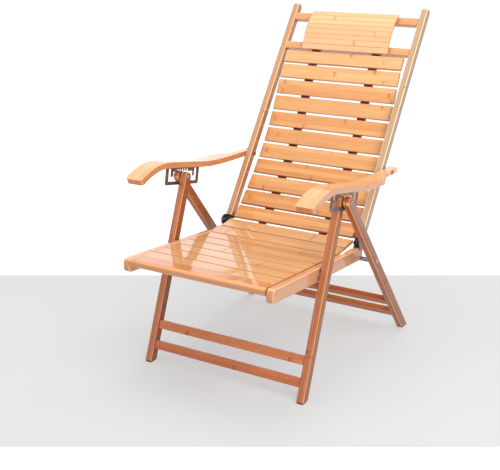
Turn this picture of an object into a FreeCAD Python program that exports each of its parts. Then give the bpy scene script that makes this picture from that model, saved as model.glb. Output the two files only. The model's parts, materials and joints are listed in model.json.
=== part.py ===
import FreeCAD, Part
import math
import os
from FreeCAD import Vector

# Bamboo folding recliner. Millimetres and degrees.
# X runs across the chair, Y from front to back, Z up.
# The side view is drawn with Y = 0 at the apex, where the front and rear legs cross under
# the armrest. At the end everything moves so that the origin is the bottom centre.

# overall widths, from the middle of the chair outwards
SEAT_WIDTH = 460.0           # over the outer faces of the seat rails
RAIL_THICK = 22.0            # seat rail, across X
STILE_THICK = 21.0           # back stile, across X
STILE_INSET = 0.5            # stile's outer face outside the rail's outer face
SEAT_TO_LEG = 4.5            # gap between seat rail and front leg, filled by a washer
FRONT_LEG_THICK = 23.0
LEG_GAP = 3.0                # gap between front and rear leg, where the rack plate runs
REAR_LEG_THICK = 21.0
ARM_TO_STILE = 1.5           # washer between stile and armrest

# legs, in side view
APEX_HEIGHT = 504.0
FRONT_SPREAD = 190.7         # apex to front foot, along Y
REAR_SPREAD = 429.6          # apex to rear foot, along Y
FRONT_LEG_DEPTH = 27.0
REAR_LEG_DEPTH = 29.0
LEG_EDGE = 4.5               # rounding of the long edges
PAD_THICK = 4.0
STRETCHER_HEIGHT = 25.0
STRETCHER_THICK = 18.0
STRETCHER_EDGE = 3.0
FRONT_STRETCHERS = (430.0, 489.5)    # distance of each below the apex, along the leg
REAR_STRETCHERS = (513.0, 579.5)

# seat, in side view
SEAT_FRONT = -320.0
SEAT_LENGTH = 519.0
SEAT_FRONT_TOP = 353.0
SEAT_SLOPE = 3.9             # falls to the rear
RAIL_HEIGHT = 39.0
RAIL_END_ROUND = 14.0
RAIL_EDGE = 5.0
RAIL_DIP = 6.0               # hollow in the rail's top near the rear
RAIL_DIP_RADIUS = 75.0
RAIL_DIP_BACK = 88.0         # from the rear end
SLAT_THICK = 9.0
SEAT_SLAT_SIDE_GAP = 2.0     # from a slat's end to the rail
SEAT_SLAT_GAP = 3.0
SEAT_SLAT_EDGE = 2.0
SEAT_SLAT_COUNT = 8
SEAT_SLAT_PITCH = 57.0
SEAT_REAR_RISE = (8.5, 20.5) # how far the last two slat joints stand above the rails
FRONT_RAIL_WIDTH = 47.0
FRONT_RAIL_THICK = 22.0
BATTEN_WIDTH = 25.0
BATTEN_THICK = 12.0
SEAT_BATTEN_FROM_END = 56.0  # middle of a batten from the slats' ends
CROSS_BAR_WIDTH = 30.0
CROSS_BAR_HEIGHT = 15.0
CROSS_BARS = (-215.0, 88.0)

# hinge of the back on the seat, and the hook that carries the seat's rear end
HINGE_FROM_END = 12.0        # hinge axis in front of the rail's rear end
HINGE_RISE = 12.0            # hinge axis above the rail's top line
HOOK_RISE = 7.0              # hook pin axis above the rail's bottom
SLEEVE_RADIUS = 6.5
SLEEVE_INSET = 1.0           # sleeve's end outside the rail's inner face
HOOK_CLEAR = 0.4
EAR_RADIUS = 9.0
EAR_THICK = 8.0
SHOE_CHEEK = 5.0
HINGE_CLEAR = 0.5
HINGE_PLATE_RADIUS = 17.0
HINGE_PLATE_THICK = 4.5
HINGE_BOSS_RADIUS = 8.0
HINGE_BOSS = 2.0             # stands out from the plate, under the bolt's riveted end

# back, along its own length (from the hinge) and across its depth
BACK_LEAN = 34.4             # from the vertical
STILE_LENGTH = 760.0
STILE_START = 16.0
STILE_DEPTH = 26.0
STILE_FRONT = -6.5           # front face, in front of the hinge axis
STILE_EDGE = 4.0
RAIL_BAR = 25.0              # height of the top rails
RAIL_BAR_THICK = 19.0
BAR_SET_BACK = 1.5           # top rails' front faces behind the stiles'
TOP_RAIL = 700.0
SECOND_RAIL = 597.0
BOTTOM_RAIL_HEIGHT = 17.0
BOTTOM_RAIL_THICK = 11.0
BACK_SLAT_SIDE_GAP = 10.0
BACK_SLAT_GAP = 7.0
BACK_SLAT_EDGE = 2.5
BACK_BATTEN_FROM_END = 97.2
BACK_CURVE = ((9.7, -7.0), (60.0, 6.0), (115.0, 15.0), (171.0, 22.0), (226.0, 27.0), (281.0, 28.5),
              (335.0, 26.0), (388.0, 20.5), (440.0, 11.5), (492.0, 1.0), (543.5, -6.5), (592.0, -8.0))

# headrest: thin strips over the two top rails
HEAD_WIDTH = 292.0
HEAD_STRIPS = 8
HEAD_STRIP_THICK = 5.0
HEAD_STRIP_GAP = 1.0
HEAD_BULGE = 12.0
HEAD_RIB_FROM_END = 28.0
HEAD_RIB_WIDTH = 18.0
HEAD_RIB_THICK = 3.0         # at the ends, where a rib is thinnest

# armrests: side view line of the middle of the board, then its plan
ARM_THICK = 16.0
ARM_WIDTH = 55.0
ARM_REAR_WIDTH = 24.0
ARM_OVER_APEX = 38.0         # middle of the board above the apex
ARM_SLOPE = -10.2            # of the straight part over the legs
ARM_STRAIGHT = (-75.0, 85.0)
ARM_FRONT_LINE = ((-224.0, 535.0), (-205.0, 543.5), (-184.0, 551.0), (-156.0, 557.8), (-127.0, 560.5),
                  (-100.0, 559.4))
ARM_PIVOT = (230.15, 11.31)  # bolt to the stile: along the back, and behind the hinge axis
# share of the way from the straight part's end to that bolt, and the height above the bolt
ARM_REAR_LINE = ((0.187, 7.3), (0.411, 3.6), (0.643, 1.8), (1.0, 0.0), (1.166, -0.8))
ARM_TAPER = (-138.0, -26.0)  # where the outer edge starts and ends its taper, from that bolt
ARM_CORNER = 9.0
ARM_EDGE = 3.0

# adjuster rack under each armrest
RACK_THICK = 2.0
RACK_FLANGE = 20.0
RACK_SPAN = (-82.0, 84.0)
RACK_WINDOW = (-69.0, 72.0)
RACK_END_TEETH = ((-57.0, -47.0), (52.0, 60.0))
RACK_END_TIP = 0.0
WINDOW_FLOOR = -13.9         # below the apex bolt's axis
WINDOW_TOP = 23.0
TOOTH_TIP = 14.6
NOTCH_DEPTH = 7.0
NOTCH_WIDTH = 7.2
NOTCH_PITCH = 12.0
NOTCH_COUNT = 5
RACK_BAR = 10.0

# fasteners
BOLT_RADIUS = 3.0
BOLT_FIT = 0.1
HEAD_RADIUS = 7.5
HEAD_HEIGHT = 3.0
WASHER_RADIUS = 9.0
SCREW_RADIUS = 4.0
SCREW_HEAD = 1.6

# how the rear legs close while the seat folds, degrees for degrees
FOLD_ANGLE = 60.0
REAR_CLOSE = 55.0


def rad(angle):
    return math.radians(angle)


def add(point, *steps):
    """Point in the side view plus any number of (distance, direction) steps."""
    y, z = point
    for distance, (dy, dz) in steps:
        y += distance * dy
        z += distance * dz
    return (y, z)


def solid(points, x0, x1):
    """Prism across X between x0 and x1 over a closed outline drawn in the side view."""
    corners = [Vector(x0, y, z) for y, z in points]
    wire = Part.makePolygon(corners + corners[:1])
    return Part.Face(wire).extrude(Vector(x1 - x0, 0, 0))


def rod(point, radius, x0, x1):
    """Cylinder across X."""
    return Part.makeCylinder(radius, x1 - x0, Vector(x0, point[0], point[1]), Vector(1, 0, 0))


def mirror(shape):
    return shape.mirror(Vector(0, 0, 0), Vector(1, 0, 0))


def along_x(edge):
    """True for a straight edge that runs across the chair."""
    ends = [v.Point for v in edge.Vertexes]
    return len(ends) == 2 and abs(ends[0].y - ends[1].y) < 1e-6 and abs(ends[0].z - ends[1].z) < 1e-6


def round_edges(shape, radius, wanted):
    edges = [e for e in shape.Edges if wanted(e)]
    return shape.makeFillet(radius, edges) if edges else shape


def board(points, x0, x1, radius):
    """Prism across X whose edges along its length, not those across X, are rounded."""
    return round_edges(solid(points, x0, x1), radius, lambda e: not along_x(e))


def bar(centre, direction, height, thick, half_length, radius):
    """Bar across X with its section's height along direction, long edges rounded."""
    across = (direction[1], -direction[0])
    corners = [add(centre, (i * height / 2, direction), (j * thick / 2, across))
               for i, j in ((-1, -1), (1, -1), (1, 1), (-1, 1))]
    return round_edges(solid(corners, -half_length, half_length), radius, along_x)


def offset_line(points, distance):
    """Polyline moved sideways by distance (to the right of its direction), with true mitres."""
    sides = []
    for (y0, z0), (y1, z1) in zip(points, points[1:]):
        length = math.hypot(y1 - y0, z1 - z0)
        sides.append(((z1 - z0) / length, -(y1 - y0) / length))
    moved = []
    for i, point in enumerate(points):
        a = sides[max(i - 1, 0)]
        b = sides[min(i, len(sides) - 1)]
        scale = distance / (1 + a[0] * b[0] + a[1] * b[1])
        moved.append((point[0] + scale * (a[0] + b[0]), point[1] + scale * (a[1] + b[1])))
    return moved


def crossing(p, d, q, e):
    """Where the line from p along d meets the line from q along e."""
    det = d[0] * -e[1] + e[0] * d[1]
    t = ((q[0] - p[0]) * -e[1] + e[0] * (q[1] - p[1])) / det
    return add(p, (t, d))


# places worked out from the sizes

half_seat = SEAT_WIDTH / 2
rail_in = half_seat - RAIL_THICK
stile_out = half_seat + STILE_INSET
stile_in = stile_out - STILE_THICK
front_in = half_seat + SEAT_TO_LEG
front_out = front_in + FRONT_LEG_THICK
rear_in = front_out + LEG_GAP
rear_out = rear_in + REAR_LEG_THICK
arm_in = stile_out + ARM_TO_STILE
rack_out = front_out + (LEG_GAP + RACK_THICK) / 2
rack_in = rack_out - RACK_THICK

apex = (0.0, APEX_HEIGHT)
front_length = math.hypot(FRONT_SPREAD, APEX_HEIGHT)
rear_length = math.hypot(REAR_SPREAD, APEX_HEIGHT)
front_down = (-FRONT_SPREAD / front_length, -APEX_HEIGHT / front_length)
rear_down = (REAR_SPREAD / rear_length, -APEX_HEIGHT / rear_length)

seat_dir = (math.cos(rad(SEAT_SLOPE)), -math.sin(rad(SEAT_SLOPE)))    # to the rear
seat_down = (-math.sin(rad(SEAT_SLOPE)), -math.cos(rad(SEAT_SLOPE)))
seat_start = (SEAT_FRONT, SEAT_FRONT_TOP)
seat_end = add(seat_start, (SEAT_LENGTH, seat_dir))
rail_middle = add(seat_start, (RAIL_HEIGHT / 2, seat_down))
seat_pivot = crossing(apex, front_down, rail_middle, seat_dir)
hook = crossing(apex, rear_down, add(seat_start, (RAIL_HEIGHT - HOOK_RISE, seat_down)), seat_dir)
hinge = add(seat_end, (-HINGE_FROM_END, seat_dir), (-HINGE_RISE, seat_down))

back_up = (math.sin(rad(BACK_LEAN)), math.cos(rad(BACK_LEAN)))
back_rear = (back_up[1], -back_up[0])
arm_slope = (math.cos(rad(ARM_SLOPE)), math.sin(rad(ARM_SLOPE)))
arm_up = (-arm_slope[1], arm_slope[0])
seat_slat_half = rail_in - SEAT_SLAT_SIDE_GAP
back_slat_half = stile_in - BACK_SLAT_SIDE_GAP
seat_batten_x = seat_slat_half - SEAT_BATTEN_FROM_END
back_batten_x = back_slat_half - BACK_BATTEN_FROM_END
head_rib_x = HEAD_WIDTH / 2 - HEAD_RIB_FROM_END
wide = rear_out + ARM_WIDTH              # beyond every piece to the side
tall = APEX_HEIGHT + STILE_LENGTH        # beyond every piece along and above


def on_back(length, depth):
    return add(hinge, (length, back_up), (depth, back_rear))


def on_rack(s, n):
    return add(apex, (s, arm_slope), (n, arm_up))


arm_pivot = on_back(*ARM_PIVOT)


def fastener(point, x_head, x_end, name_head=HEAD_RADIUS):
    """Bolt across X with a low domed head at x_head; the shank ends at x_end."""
    side = 1 if x_head > x_end else -1
    shank = rod(point, BOLT_RADIUS, min(x_head, x_end), max(x_head, x_end))
    head = Part.makeCone(name_head, name_head * 0.72, HEAD_HEIGHT,
                         Vector(x_head, point[0], point[1]), Vector(side, 0, 0))
    return shank.fuse(head).removeSplitter()


def nut(point, x_face, side):
    """Low round nut that starts at x_face and stands out towards side."""
    outer = Part.makeCone(HEAD_RADIUS, HEAD_RADIUS * 0.8, HEAD_HEIGHT,
                          Vector(x_face, point[0], point[1]), Vector(side, 0, 0))
    bore = rod(point, BOLT_RADIUS + BOLT_FIT, x_face - HEAD_HEIGHT - 1, x_face + HEAD_HEIGHT + 1)
    return outer.cut(bore)


def washer(point, x0, x1, radius=WASHER_RADIUS):
    return rod(point, radius, x0, x1).cut(rod(point, BOLT_RADIUS + BOLT_FIT, x0 - 1, x1 + 1))


def hole(point):
    return rod(point, BOLT_RADIUS + BOLT_FIT, 0, wide)


parts = {}


def keep(name, *shapes):
    parts[name] = shapes[0] if len(shapes) == 1 else Part.Compound(list(shapes))


def both(name, shape):
    """One node with the piece on the right and its mirror image on the left."""
    keep(name, shape, mirror(shape))


def pair(name, shape):
    """Two nodes, one for each side."""
    keep(name + "_right", shape)
    keep(name + "_left", mirror(shape))


# legs, feet and stretchers

def leg(down, length, depth, x0, x1):
    across = (-down[1], down[0])
    far = length + depth
    outline = [add(apex, (i, down), (j * depth / 2, across)) for i,
               j in ((0, -1), (far, -1), (far, 1), (0, 1))]
    shape = solid(outline, x0, x1).fuse(rod(apex, depth / 2, x0, x1)).removeSplitter()
    floor = Part.makeBox(2 * wide, 2 * tall, tall, Vector(-wide, -tall, PAD_THICK - tall))
    shape = round_edges(shape, LEG_EDGE, lambda e: not along_x(e) and e.BoundBox.ZMax > APEX_HEIGHT / 2)
    return shape.cut(floor)


def foot_pad(down, depth, x0, x1):
    """Thin pad under a leg, in line with its sides."""
    inset = LEG_EDGE * 0.5
    half = depth / 2 / -down[1] - inset
    top = crossing(apex, down, (0.0, PAD_THICK), (1.0, 0.0))
    foot = crossing(apex, down, (0.0, 0.0), (1.0, 0.0))
    outline = [(top[0] - half, top[1]), (top[0] + half, top[1]), (foot[0] + half, foot[1]),
               (foot[0] - half, foot[1])]
    return solid(outline, x0 + inset, x1 - inset)


front_leg = leg(front_down, front_length, FRONT_LEG_DEPTH, front_in, front_out)
rear_leg = leg(rear_down, rear_length, REAR_LEG_DEPTH, rear_in, rear_out)
pair("front_leg", front_leg.cut(hole(apex)).cut(hole(seat_pivot)))
pair("rear_leg", rear_leg.cut(hole(apex)).cut(hole(hook)))
both("front_foot_pads", foot_pad(front_down, FRONT_LEG_DEPTH, front_in, front_out))
both("rear_foot_pads", foot_pad(rear_down, REAR_LEG_DEPTH, rear_in, rear_out))

for name, distance in zip(("front_stretcher_upper", "front_stretcher_lower"), FRONT_STRETCHERS):
    keep(name, bar(add(apex, (distance, front_down)), front_down, STRETCHER_HEIGHT, STRETCHER_THICK,
                   front_in, STRETCHER_EDGE))
for name, distance in zip(("rear_stretcher_upper", "rear_stretcher_lower"), REAR_STRETCHERS):
    keep(name, bar(add(apex, (distance, rear_down)), rear_down, STRETCHER_HEIGHT, STRETCHER_THICK,
                   rear_in, STRETCHER_EDGE))

both("apex_bolts", fastener(apex, front_in, rear_out + HEAD_HEIGHT * 0.7))
both("apex_nuts", nut(apex, rear_out, 1))

# seat

def seat_rail():
    corners = [seat_start, seat_end, add(seat_end, (RAIL_HEIGHT, seat_down)),
               add(seat_start, (RAIL_HEIGHT, seat_down))]
    shape = solid(corners, rail_in, half_seat)
    middle = add(seat_start, (SEAT_LENGTH / 2, seat_dir))
    shape = round_edges(shape, RAIL_END_ROUND, lambda e: along_x(e) and e.CenterOfMass.y < middle[0])
    shape = round_edges(shape, RAIL_EDGE, lambda e: not along_x(e) and e.BoundBox.YMin < middle[0])
    dip = add(seat_end, (-RAIL_DIP_BACK, seat_dir), (RAIL_DIP - RAIL_DIP_RADIUS, seat_down))
    shape = shape.cut(rod(dip, RAIL_DIP_RADIUS, rail_in - 1, half_seat + 1))
    # The hook: the pin leaves it along its own path as the rear legs close and the seat rises.
    ratio = REAR_CLOSE / FOLD_ANGLE
    step = (ratio * (hook[1] - apex[1]) + (hook[1] - seat_pivot[1]),
            -ratio * (hook[0] - apex[0]) - (hook[0] - seat_pivot[0]))
    size = math.hypot(*step)
    way = (step[0] / size, step[1] / size)
    side = (way[1], -way[0])
    half = SLEEVE_RADIUS + HOOK_CLEAR
    out = 1.5 * RAIL_HEIGHT
    slot = solid([add(hook, (i, way), (j * half, side)) for i, j in ((0, -1), (out, -1), (out, 1), (0, 1))],
                 rail_in - 1, half_seat + 1)
    shape = shape.cut(slot.fuse(rod(hook, half, rail_in - 1, half_seat + 1)))
    return shape.cut(hole(seat_pivot))


pair("seat_rail", seat_rail())

front_corners = [seat_start, add(seat_start, (FRONT_RAIL_WIDTH, seat_dir))]
front_corners += [add(p, (FRONT_RAIL_THICK, seat_down)) for p in reversed(front_corners)]
front_rail = solid(front_corners, -rail_in, rail_in)
keep("seat_front_rail", round_edges(front_rail, FRONT_RAIL_THICK * 0.42,
                                    lambda e: along_x(e) and e.CenterOfMass.y < SEAT_FRONT + 2))

slat_line = [add(seat_start, (FRONT_RAIL_WIDTH + i * SEAT_SLAT_PITCH,
                              seat_dir)) for i in range(SEAT_SLAT_COUNT + 1)]
rises = [0.0] * (SEAT_SLAT_COUNT + 1 - len(SEAT_REAR_RISE)) + list(SEAT_REAR_RISE)
slat_line = [add(p, (-rise, seat_down)) for p, rise in zip(slat_line, rises)]
slat_under = offset_line(slat_line, SLAT_THICK)
batten_under = offset_line(slat_line, SLAT_THICK + BATTEN_THICK)


def slat(a, b, gap, half_length, radius, under_a, under_b):
    """Flat slat from joint a to joint b of a line, with half the gap left at each end."""
    length = math.hypot(b[0] - a[0], b[1] - a[1])
    way = ((b[0] - a[0]) / length, (b[1] - a[1]) / length)
    side = (way[1], -way[0])
    start, stop = gap / 2, length - gap / 2
    outline = [add(a, (start, way)), add(a, (stop, way)), add(a, (stop, way), (SLAT_THICK, side)),
               add(a, (start, way), (SLAT_THICK, side))]
    shape = solid(outline, -half_length, half_length)
    front = [outline[0], outline[1]]
    return round_edges(shape, radius, lambda e: along_x(e) and any(
        math.hypot(e.CenterOfMass.y - y, e.CenterOfMass.z - z) < 1e-3 for y, z in front))


for i in range(SEAT_SLAT_COUNT):
    keep("seat_slat_%d" % (i + 1), slat(slat_line[i], slat_line[i + 1], SEAT_SLAT_GAP, seat_slat_half,
                                        SEAT_SLAT_EDGE, slat_under[i], slat_under[i + 1]))

seat_batten = solid(slat_under + batten_under[::-1], seat_batten_x - BATTEN_WIDTH / 2,
                    seat_batten_x + BATTEN_WIDTH / 2)
both("seat_battens", seat_batten)
for name, place in zip(("seat_cross_bar_front", "seat_cross_bar_rear"), CROSS_BARS):
    centre = add(seat_start, (place - SEAT_FRONT, seat_dir),
                 (SLAT_THICK + BATTEN_THICK + CROSS_BAR_HEIGHT / 2, seat_down))
    keep(name, bar(centre, seat_down, CROSS_BAR_HEIGHT, CROSS_BAR_WIDTH, rail_in, 2.0))

both("seat_pivot_bolts", fastener(seat_pivot, rail_in, front_out + HEAD_HEIGHT * 0.5))
both("seat_pivot_washers", washer(seat_pivot, half_seat, front_in))

# hook pins on the rear legs

sleeve_in = rail_in + SLEEVE_INSET
both("hook_sleeves", washer(hook, sleeve_in, rear_in, SLEEVE_RADIUS))
both("hook_bolts", fastener(hook, rear_out, sleeve_in))

# hinges of the back

mid_x = (rail_in + half_seat) / 2


def hinge_ear():
    """Black ear on the seat rail's rear end, round at the hinge axis."""
    foot = add(hinge, (HINGE_RISE, seat_down))
    half = RAIL_THICK / 2 - 1
    base = [add(foot, (-half, seat_dir), (-2.5, seat_down)), add(foot, (half, seat_dir), (-2.5, seat_down)),
            add(foot, (half, seat_dir)), add(foot, (-half, seat_dir))]
    plate = solid(base, rail_in + 1.0, half_seat - 1.0)
    ear_line = [add(hinge, (-EAR_RADIUS, seat_dir)), add(hinge, (EAR_RADIUS, seat_dir)),
                add(foot, (EAR_RADIUS, seat_dir)), add(foot, (-EAR_RADIUS, seat_dir))]
    ear = solid(ear_line, mid_x - EAR_THICK / 2, mid_x + EAR_THICK / 2)
    ear = ear.fuse(rod(hinge, EAR_RADIUS, mid_x - EAR_THICK / 2, mid_x + EAR_THICK / 2))
    return plate.fuse(ear).removeSplitter().cut(hole(hinge))


def stile_shoe():
    """Black shoe on the stile's lower end: two cheeks outside the ear."""
    mid_depth = STILE_FRONT + STILE_DEPTH / 2
    inner = EAR_THICK / 2 + HINGE_CLEAR
    outline = [on_back(STILE_START - 2.5, mid_depth - STILE_DEPTH / 2),
               on_back(STILE_START, mid_depth - STILE_DEPTH / 2),
               on_back(STILE_START, mid_depth + STILE_DEPTH / 2),
               on_back(STILE_START - 2.5, mid_depth + STILE_DEPTH / 2)]
    cap = solid(outline, stile_in + 0.5, stile_out - 0.5)
    shape = cap
    for x0 in (mid_x - inner - SHOE_CHEEK, mid_x + inner):
        arm = solid([on_back(0, -EAR_RADIUS), on_back(STILE_START - 1, -EAR_RADIUS + 3),
                     on_back(STILE_START - 1, EAR_RADIUS), on_back(0, EAR_RADIUS)], x0, x0 + SHOE_CHEEK)
        shape = shape.fuse(arm).fuse(rod(hinge, EAR_RADIUS, x0, x0 + SHOE_CHEEK))
    return shape.removeSplitter().cut(hole(hinge))


both("hinge_ears", hinge_ear())
both("stile_shoes", stile_shoe())
cheek_out = EAR_THICK / 2 + HINGE_CLEAR + SHOE_CHEEK
plate_out = stile_out + HINGE_PLATE_THICK


def hinge_plate():
    """Round steel plate that covers the joint from outside, with a boss on each face."""
    shape = rod(hinge, HINGE_PLATE_RADIUS, stile_out, plate_out)
    shape = shape.fuse(rod(hinge, HINGE_BOSS_RADIUS, mid_x + cheek_out,
                           plate_out + HINGE_BOSS)).removeSplitter()
    return shape.cut(hole(hinge))


hinge_bolt = fastener(hinge, mid_x - cheek_out, plate_out + HINGE_BOSS + 1.5, 5.5)
keep("hinge_bolts", hinge_bolt, hinge_plate(), mirror(hinge_bolt), mirror(hinge_plate()))

# back

def stile():
    outline = [on_back(STILE_START, STILE_FRONT), on_back(STILE_LENGTH, STILE_FRONT),
               on_back(STILE_LENGTH, STILE_FRONT + STILE_DEPTH),
               on_back(STILE_START, STILE_FRONT + STILE_DEPTH)]
    shape = solid(outline, stile_in, stile_out)
    top = on_back(STILE_LENGTH, 0)
    shape = round_edges(shape, 8.0, lambda e: along_x(e) and e.CenterOfMass.z > top[1] - 30)
    return round_edges(shape, STILE_EDGE, lambda e: not along_x(e) and e.BoundBox.ZMax > hinge[1] + 60)


pair("back_stile", stile().cut(hole(arm_pivot)))


def back_bar(start, height, front, thick, radius):
    return bar(on_back(start + height / 2, front + thick / 2), back_up, height, thick, stile_in, radius)


keep("back_top_rail", back_bar(TOP_RAIL, RAIL_BAR, STILE_FRONT + BAR_SET_BACK, RAIL_BAR_THICK, 4.0))
keep("back_second_rail", back_bar(SECOND_RAIL, RAIL_BAR, STILE_FRONT + BAR_SET_BACK, RAIL_BAR_THICK, 4.0))
keep("back_bottom_rail", back_bar(STILE_START, BOTTOM_RAIL_HEIGHT,
                                  STILE_FRONT + STILE_DEPTH - BOTTOM_RAIL_THICK,
                                  BOTTOM_RAIL_THICK, 2.0))

back_line = [on_back(length, depth) for length, depth in BACK_CURVE]
back_under = offset_line(back_line, SLAT_THICK)
batten_line = back_line[:-1] + [on_back(SECOND_RAIL, BACK_CURVE[-1][1])]
batten_front, batten_back = offset_line(batten_line, SLAT_THICK), offset_line(batten_line,
                                                                              SLAT_THICK + BATTEN_THICK)
for i in range(len(back_line) - 1):
    # slat 1 is the top one
    number = len(back_line) - 1 - i
    keep("back_slat_%d" % number, slat(back_line[i], back_line[i + 1], BACK_SLAT_GAP, back_slat_half,
                                       BACK_SLAT_EDGE, back_under[i], back_under[i + 1]))


def back_batten():
    """Batten behind the slats, flat under each one, from the bottom rail to the second rail."""
    shape = solid(batten_front + batten_back[::-1], back_batten_x - BATTEN_WIDTH / 2,
                  back_batten_x + BATTEN_WIDTH / 2)
    end = STILE_START + BOTTOM_RAIL_HEIGHT
    deep = STILE_FRONT + STILE_DEPTH - BOTTOM_RAIL_THICK
    high, far = SECOND_RAIL, 2 * STILE_DEPTH
    lower = solid([on_back(0, deep), on_back(end, deep), on_back(end, deep + far), on_back(0, deep + far)],
                  -wide, wide)
    upper = solid([on_back(high, -far), on_back(high + far, -far), on_back(high + far, far),
                   on_back(high, far)], -wide, wide)
    return shape.cut(lower).cut(upper)


both("back_battens", back_batten())

# headrest

head_low = SECOND_RAIL - 3.0
head_high = TOP_RAIL + RAIL_BAR + 3.0


def head_line(depth):
    """Joints of the headrest's strips along a shallow arc, at a depth behind its face."""
    points = []
    for i in range(HEAD_STRIPS + 1):
        t = i / HEAD_STRIPS
        bulge = HEAD_BULGE * (1 - (2 * t - 1) ** 2)
        points.append(on_back(head_low + t * (head_high - head_low),
                              STILE_FRONT + BAR_SET_BACK - HEAD_STRIP_THICK - HEAD_RIB_THICK - bulge))
    return offset_line(points, depth)


face, behind = head_line(0), head_line(HEAD_STRIP_THICK)
strips = []
for i in range(HEAD_STRIPS):
    a, b, c, d = face[i], face[i + 1], behind[i + 1], behind[i]
    share = HEAD_STRIP_GAP / 2 / math.hypot(b[0] - a[0], b[1] - a[1])
    mix = lambda p, q, t: (p[0] + t * (q[0] - p[0]), p[1] + t * (q[1] - p[1]))
    strips.append(solid([mix(a, b, share), mix(a, b, 1 - share), mix(d, c, 1 - share), mix(d, c, share)],
                        -HEAD_WIDTH / 2, HEAD_WIDTH / 2))
keep("headrest_strips", *strips)
rib_back = [on_back(length, STILE_FRONT + BAR_SET_BACK) for length in (head_high, head_low)]
rib = solid(behind + rib_back, head_rib_x - HEAD_RIB_WIDTH / 2, head_rib_x + HEAD_RIB_WIDTH / 2)
both("headrest_ribs", rib)

# armrests

def arm_middle():
    straight = [add((0.0, APEX_HEIGHT + ARM_OVER_APEX), (y / arm_slope[0], arm_slope)) for y in ARM_STRAIGHT]
    start, stop = ARM_STRAIGHT[1], arm_pivot[0]
    rear = [(start + share * (stop - start), arm_pivot[1] + rise) for share, rise in ARM_REAR_LINE]
    return list(ARM_FRONT_LINE) + straight + rear


def armrest():
    """Board of even thickness along its curved line, cut to its plan."""
    middle = arm_middle()
    top, bottom = offset_line(middle, -ARM_THICK / 2), offset_line(middle, ARM_THICK / 2)
    edges = []
    for side in (top, bottom):
        front = len(ARM_FRONT_LINE)
        curve = [Vector(arm_in, y, z) for y, z in side]
        for piece, tangents in ((curve[:front + 1], (None, curve[front + 1] - curve[front])),
                                (curve[front:front + 2], None),
                                (curve[front + 1:], (curve[front + 1] - curve[front], None))):
            if tangents is None:
                edges.append(Part.LineSegment(piece[0], piece[1]).toShape())
                continue
            spline = Part.BSplineCurve()
            first = tangents[0] or (piece[1] - piece[0])
            last = tangents[1] or (piece[-1] - piece[-2])
            spline.interpolate(Points=piece, InitialTangent=Vector(first).normalize(),
                               FinalTangent=Vector(last).normalize())
            edges.append(spline.toShape())
    ends = [Part.LineSegment(Vector(arm_in, *top[i]), Vector(arm_in, *bottom[i])).toShape() for i in (0, -1)]
    wire = Part.Wire(Part.__sortEdges__(edges + ends))
    shape = Part.Face(wire).extrude(Vector(ARM_WIDTH, 0, 0))
    outer, narrow = arm_in + ARM_WIDTH, arm_in + ARM_REAR_WIDTH
    front_y, rear_y = middle[0][0] - 20, middle[-1][0] + 20
    t0, t1 = (arm_pivot[0] + y for y in ARM_TAPER)
    plan = [Part.LineSegment(Vector(outer, t0, 0), Vector(outer, t0 - 1, 0)).toShape()]
    taper = Part.BezierCurve()
    taper.setPoles([Vector(outer, t0, 0), Vector(outer, t0 + (t1 - t0) * 0.5, 0),
                    Vector(narrow, t0 + (t1 - t0) * 0.5, 0), Vector(narrow, t1, 0)])
    waste = Part.Wire([taper.toShape(),
                       Part.LineSegment(Vector(narrow, t1, 0), Vector(narrow, rear_y, 0)).toShape(),
                       Part.LineSegment(Vector(narrow, rear_y, 0), Vector(outer + 5, rear_y, 0)).toShape(),
                       Part.LineSegment(Vector(outer + 5, rear_y, 0), Vector(outer + 5, t0, 0)).toShape(),
                       Part.LineSegment(Vector(outer + 5, t0, 0), Vector(outer, t0, 0)).toShape()])
    block = Part.Face(waste).extrude(Vector(0, 0, tall))
    shape = shape.cut(block)
    front = middle[0][0]
    shape = round_edges(shape, ARM_CORNER, lambda e: len(e.Vertexes) == 2 and e.BoundBox.XLength < 1e-6
                        and e.CenterOfMass.y < front + 6 and e.BoundBox.ZLength > ARM_THICK * 0.7)
    return shape


def rack():
    """Steel plate with a toothed window that the apex bolt runs in, and a flange under the board."""
    under = ARM_OVER_APEX * arm_slope[0] - ARM_THICK / 2
    s0, s1 = RACK_SPAN
    outline = [on_rack(s0, WINDOW_FLOOR - RACK_BAR), on_rack(s1, WINDOW_FLOOR - RACK_BAR),
               on_rack(s1, under), on_rack(s0, under)]
    plate = solid(outline, rack_in, rack_out)
    plate = round_edges(plate, 5.0, lambda e: along_x(e) and e.CenterOfMass.z < APEX_HEIGHT - 5 + 20)
    w0, w1 = RACK_WINDOW
    half = (NOTCH_COUNT - 1) / 2
    (a0, a1), (b0, b1) = RACK_END_TEETH
    edge = [(w0, WINDOW_FLOOR), (w0, WINDOW_TOP), (a0, WINDOW_TOP), (a0, RACK_END_TIP), (a1, RACK_END_TIP),
            (a1, TOOTH_TIP)]
    for i in range(NOTCH_COUNT):
        s = (i - half) * NOTCH_PITCH
        edge += [(s - NOTCH_WIDTH / 2, TOOTH_TIP), (s - NOTCH_WIDTH / 2, TOOTH_TIP + NOTCH_DEPTH),
                 (s + NOTCH_WIDTH / 2, TOOTH_TIP + NOTCH_DEPTH), (s + NOTCH_WIDTH / 2, TOOTH_TIP)]
    edge += [(b0, TOOTH_TIP), (b0, RACK_END_TIP), (b1, RACK_END_TIP), (b1, WINDOW_TOP), (w1, WINDOW_TOP),
             (w1, WINDOW_FLOOR)]
    window = solid([on_rack(s, n) for s, n in edge], rack_in - 1, rack_out + 1)
    flange = solid([on_rack(s0, under - RACK_THICK), on_rack(s1, under - RACK_THICK), on_rack(s1, under),
                    on_rack(s0, under)],
                   rack_out - RACK_FLANGE, rack_out)
    return plate.cut(window).fuse(flange).removeSplitter()


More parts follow.
